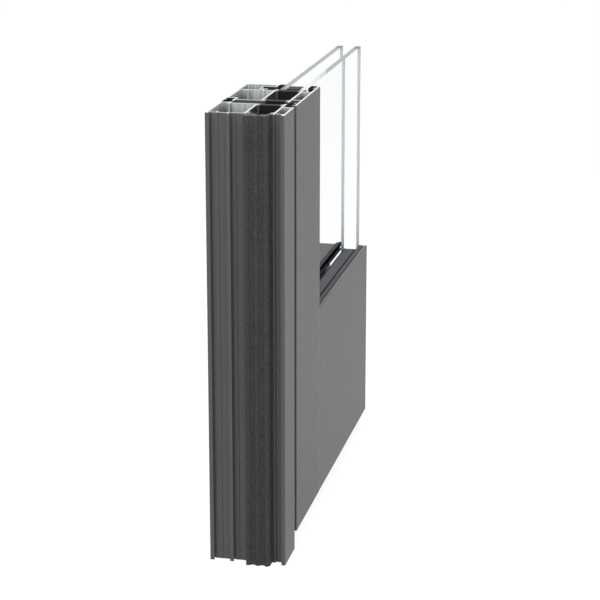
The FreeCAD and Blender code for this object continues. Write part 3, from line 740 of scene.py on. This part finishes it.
# %% [markdown]
# ### Edges of the glass
#
# The edges of a pane are ground, and a ground edge scatters the green of the glass as a
# pale grey-green band. The far ends take more light and are paler. The edges are faces of
# their own, so they get a solid finish, and no light has to pass through them.

# %% Grind the edges
EDGE_COLOUR = (0.43, 0.475, 0.465)
END_COLOUR = (0.59, 0.64, 0.66)
EDGE_ROUGHNESS = 0.45


def mix_ground_edge(name, colour, bands=()):
    """A ground edge of glass, with bands of another colour."""
    finish, tree, shader = new_finish(name, colour, EDGE_ROUGHNESS)
    grind = add_effect(tree, GRAIN, Per_Metre=2000, Amount=0.08, Patches=0.5)
    tint(tree, shader, lay_bands(tree, colour, bands), grind)
    emboss(tree, shader, grind, depth=0.00005)
    return finish


GROUND_EDGE = mix_ground_edge("ground_glass_edge", EDGE_COLOUR)
GROUND_END = mix_ground_edge("ground_glass_end", END_COLOUR)
print("edges and ends mixed:", GROUND_EDGE.name, GROUND_END.name)

# %% [markdown]
# The top edge of the outer pane carries painted light: clear near the stile, then pale,
# then greenish, and last ground like the rest. The borders run slanted across the narrow
# edge, so a band is laid along X and Y at once. Painted shade darkens both panes at their
# far top corner, and the inner one where it meets the stile's bead.

# %% Paint light and shade on the top edges of the panes
# The clear, pale and greenish colours are painted light, and the corner colour painted shade.
CLEAR_PAINTED_LIGHT_COLOUR = (0.98, 0.98, 0.98)
PALE_PAINTED_LIGHT_COLOUR = (0.82, 0.92, 0.91)
GREENISH_PAINTED_LIGHT_COLOUR = (0.70, 0.80, 0.79)
CORNER_PAINTED_SHADE_COLOUR = (0.25, 0.28, 0.28)
CLEAR_END, PALE_END, GREENISH_END = 0.038, 0.067, 0.099
CORNER_LENGTH = 0.018
BEAD_SHADE = -0.0025
SLANT = -4.85
BAND_BLUR = 0.002


def slanted_band(colour, reach, pane="outer_pane", blur=BAND_BLUR):
    """A band from the stile to a slanted border, that far from the pane's outdoor corner."""
    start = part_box(pane)[0]
    return (colour, -1, -SLANT, -(start.x + reach + SLANT * start.y), blur)


corner_shade_band = (CORNER_PAINTED_SHADE_COLOUR, 1, 0, high.x - CORNER_LENGTH, BAND_BLUR)
OUTER_TOP_EDGE = mix_ground_edge("outer_pane_top", EDGE_COLOUR, bands=(
    slanted_band(GREENISH_PAINTED_LIGHT_COLOUR, GREENISH_END),
    slanted_band(PALE_PAINTED_LIGHT_COLOUR, PALE_END),
    slanted_band(CLEAR_PAINTED_LIGHT_COLOUR, CLEAR_END),
    corner_shade_band))
INNER_TOP_EDGE = mix_ground_edge("inner_pane_top", EDGE_COLOUR, bands=(
    corner_shade_band,
    slanted_band(CORNER_PAINTED_SHADE_COLOUR, BEAD_SHADE, "inner_pane", SHARP)))
print("finishes mixed:", len(bpy.data.materials))


# %% [markdown]
# ## Sorting the faces of a section
#
# A drawn section is one closed outside and some closed hollows, pulled along its length.
# They need different finishes, and picking faces by hand would break with any change of
# size. On a merged copy of the mesh, the side faces that touch belong together, so the
# group with the widest box is the outside, and every other group is a hollow. Faces that
# look along the length are where the saw went through.

# %% Sort the faces of a drawn section
UPRIGHT, ALONG_RAIL = Vector((0, 0, 1)), Vector((1, 0, 0))
MERGE = 1e-6
LOOKS_THAT_WAY = 0.5


def box_width(faces):
    """The three sides of the box about some faces, added up."""
    corners = [vertex.co for face in faces for vertex in face.verts]
    return sum(max(c[axis] for c in corners) - min(c[axis] for c in corners) for axis in range(3))


def side_groups(mesh, run):
    """Lists of face numbers, one list for each closed wall of the section, widest first."""
    copy = bmesh.new()
    copy.from_mesh(mesh)
    number = copy.faces.layers.int.new("number")
    for face in copy.faces:
        face[number] = face.index
    bmesh.ops.remove_doubles(copy, verts=copy.verts, dist=MERGE)
    left = {face for face in copy.faces if abs(face.normal.dot(run)) < LOOKS_THAT_WAY}
    groups = []
    while left:
        group, fresh = [], [left.pop()]
        while fresh:
            face = fresh.pop()
            group.append(face)
            touching = {other for edge in face.edges for other in edge.link_faces} & left
            left -= touching
            fresh += touching
        groups.append((box_width(group), [face[number] for face in group]))
    copy.free()
    return [faces for width, faces in sorted(groups, key=lambda item: -item[0])]


print("closed walls of the stile's bead:", len(side_groups(nodes["stile_bead"].data, UPRIGHT)))


# %% [markdown]
# Inside a hollow, the wall on the glass side looks back towards the frame's wall side, and
# a nib on it is told by how narrow its faces are. Outside, the faces that look into the
# glass opening are told by their normals, and so are those that the built door hides.

# %% Choose a kind for each face
NIB_REACH, NIB_WIDTH = 0.0045, 0.002
BREAK_REACH = 0.003
BREAK_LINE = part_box("stile_inner_shell")[0].y + BREAK_REACH
SIDE, CUT, HOLLOW, FAR, TIP, NIB, OPENING, HIDDEN = range(8)


def width_along(mesh, face, axis):
    """How wide one face is along an axis."""
    places = [mesh.vertices[corner].co[axis] for corner in face.vertices]
    return max(places) - min(places)


def kind_in_hollow(mesh, face):
    """Which kind of wall a face inside a hollow belongs to."""
    if face.normal.x < -LOOKS_THAT_WAY:
        return TIP if width_along(mesh, face, 1) < NIB_WIDTH else FAR
    if face.normal.y < -LOOKS_THAT_WAY and width_along(mesh, face, 0) < NIB_REACH:
        return NIB
    return HOLLOW


def looks_into_break(face):
    """A web that faces the thermal break."""
    return face.normal.y < -LOOKS_THAT_WAY and face.center.y < BREAK_LINE


def looks_into_seat(face):
    """A side of the bead that is pressed into its seat."""
    return face.normal.x < -LOOKS_THAT_WAY


def kind_outside(face, inward_way, is_hidden):
    """Which kind of face one on the outside is."""
    if face.normal.dot(inward_way) > LOOKS_THAT_WAY:
        return OPENING
    return HIDDEN if is_hidden and is_hidden(face) else SIDE


print("webs of the thermal break end at y =", round(BREAK_LINE, 4))

# %% [markdown]
# Each node keeps one mesh, so its finishes go into material slots, and every face names
# its slot by number. A kind that a section lacks takes the finish of its hollows or of its
# outside, so that no slot stays empty.

# %% Give a section its finishes
def finish_section(name, run, side, cut, hollow=None, far=None, tip=None, nib=None,
                   opening=None, hidden=None, is_hidden=None):
    """Finishes for the outside and the sawn ends; in a hollow, for its walls, its far wall
    and the tip and side of its nib; outside, for faces that look into the glass opening
    and for those that the built door hides."""
    mesh = nodes[name].data
    mesh.materials.clear()
    for finish in (side, cut, hollow, far, tip, nib, opening, hidden):
        mesh.materials.append(finish or hollow or side)
    inward_way = ALONG_RAIL if run is UPRIGHT else UPRIGHT
    for face in mesh.polygons:
        face.material_index = CUT
    groups = side_groups(mesh, run)
    for order, faces in enumerate(groups):
        for face in (mesh.polygons[number] for number in faces):
            if order == 0:
                face.material_index = kind_outside(face, inward_way, is_hidden)
            else:
                face.material_index = kind_in_hollow(mesh, face)
    print(name, "has", len(groups) - 1, "hollows")


# %% [markdown]
# ## Aluminium sections
#
# The indoor shells of jamb and stile have the wide hollows with nibs, and their webs in
# the gap of the thermal break take a painted shade. The outdoor shells have narrow hollows.
# The stile's bead is a light hollow section that is pressed into its seat, and its sides
# in the seat take the same painted shade. The rail's three pieces lie along X, and their
# faces that look up into the glass opening are darker by painted shade.

# %% Coat the aluminium sections
for name, sawn, far in (("jamb_inner_shell", SAWN_JAMB, MILL_JAMB),
                        ("stile_inner_shell", SAWN_ALUMINIUM, MILL_STILE)):
    finish_section(name, UPRIGHT, side=POWDER_COAT, cut=sawn, hollow=MILL_UPRIGHT, far=far,
                   tip=MILL_TIP_PAINTED_SHADE, nib=MILL_NIB_PAINTED_HIGHLIGHT, opening=POWDER_COAT, hidden=BREAK_SHADE_COAT,
                   is_hidden=looks_into_break)
for name, sawn in (("jamb_outer_shell", SAWN_JAMB), ("stile_outer_shell", SAWN_ALUMINIUM)):
    finish_section(name, UPRIGHT, side=POWDER_COAT, cut=sawn, hollow=MILL_NARROW,
                   far=MILL_NARROW_FAR, opening=POWDER_COAT)
finish_section("stile_bead", UPRIGHT, side=POWDER_COAT, cut=SAWN_BEAD, hollow=MILL_NARROW,
               far=MILL_BEAD, tip=MILL_NIB_PAINTED_HIGHLIGHT, nib=MILL_NIB_PAINTED_HIGHLIGHT, opening=POWDER_COAT, hidden=BREAK_SHADE_COAT,
               is_hidden=looks_into_seat)
for name, upward in (("rail_inner_shell", LIP_SHADE_COAT), ("rail_outer_shell", LIP_SHADE_COAT),
                     ("rail_bead", BEAD_SHADE_COAT)):
    finish_section(name, ALONG_RAIL, side=POWDER_COAT, cut=SAWN_ALUMINIUM, hollow=MILL_RAIL,
                   opening=upward)

# %% [markdown]
# ## Strips and gaskets
#
# They are drawn too, and the same function serves them with fewer finishes: one for the
# outside and one for the cut, and a lighter one, painted light, for the gaskets' tops.

# %% Finish the strips and the gaskets
finish_section("jamb_wall_strip", UPRIGHT, side=TOOTHED, cut=SAWN_TOOTHED)
for name in ("jamb_leaf_strip", "stile_frame_strip", "stile_glass_strip"):
    finish_section(name, UPRIGHT, side=STRIP, cut=SAWN_STRIP)
for name in ("rail_floor_strip", "rail_glass_strip", "setting_block"):
    finish_section(name, ALONG_RAIL, side=STRIP, cut=SAWN_STRIP)
for name in ("inner_stop_gasket", "outer_stop_gasket"):
    finish_section(name, UPRIGHT, side=RUBBER, cut=RUBBER_CUT)
for part, run in (("stile", UPRIGHT), ("rail", ALONG_RAIL)):
    finish_section(part + "_inner_gasket", run, side=RUBBER, cut=RUBBER_CUT, opening=INNER_TOP)
    finish_section(part + "_outer_gasket", run, side=RUBBER, cut=RUBBER_CUT, opening=OUTER_TOP)


# %% [markdown]
# ## Glazing
#
# Panes, spacer and sealant are plain flat pieces, so each face is told by the way it
# looks. The panes are clear on their broad faces and underside, and ground on the rest.
# The spacer and the sealant are black with butyl where they lie against the panes.

# %% Finish the flat pieces
BROAD, TOP, END, REST = range(4)


def finish_flat(name, broad, top, end, rest):
    """Finishes for the broad faces and the underside, the top, the far end and the rest."""
    mesh = nodes[name].data
    mesh.materials.clear()
    for finish in (broad, top, end, rest):
        mesh.materials.append(finish)
    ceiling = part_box(name)[1].z - MERGE
    for face in mesh.polygons:
        if abs(face.normal.y) > LOOKS_THAT_WAY or face.normal.z < -LOOKS_THAT_WAY:
            face.material_index = BROAD
        elif face.normal.z > LOOKS_THAT_WAY and face.center.z > ceiling:
            face.material_index = TOP
        else:
            face.material_index = END if face.normal.x > LOOKS_THAT_WAY else REST
    print(name, "has", len(mesh.polygons), "faces")


finish_flat("outer_pane", broad=GLASS, top=OUTER_TOP_EDGE, end=GROUND_END, rest=GROUND_EDGE)
finish_flat("inner_pane", broad=GLASS, top=INNER_TOP_EDGE, end=GROUND_END, rest=GROUND_EDGE)
finish_flat("spacer_bar", broad=BUTYL, top=SPACER_CUT, end=SPACER, rest=SPACER)
finish_flat("edge_seal", broad=BUTYL, top=SEALANT, end=SEALANT, rest=SEALANT)
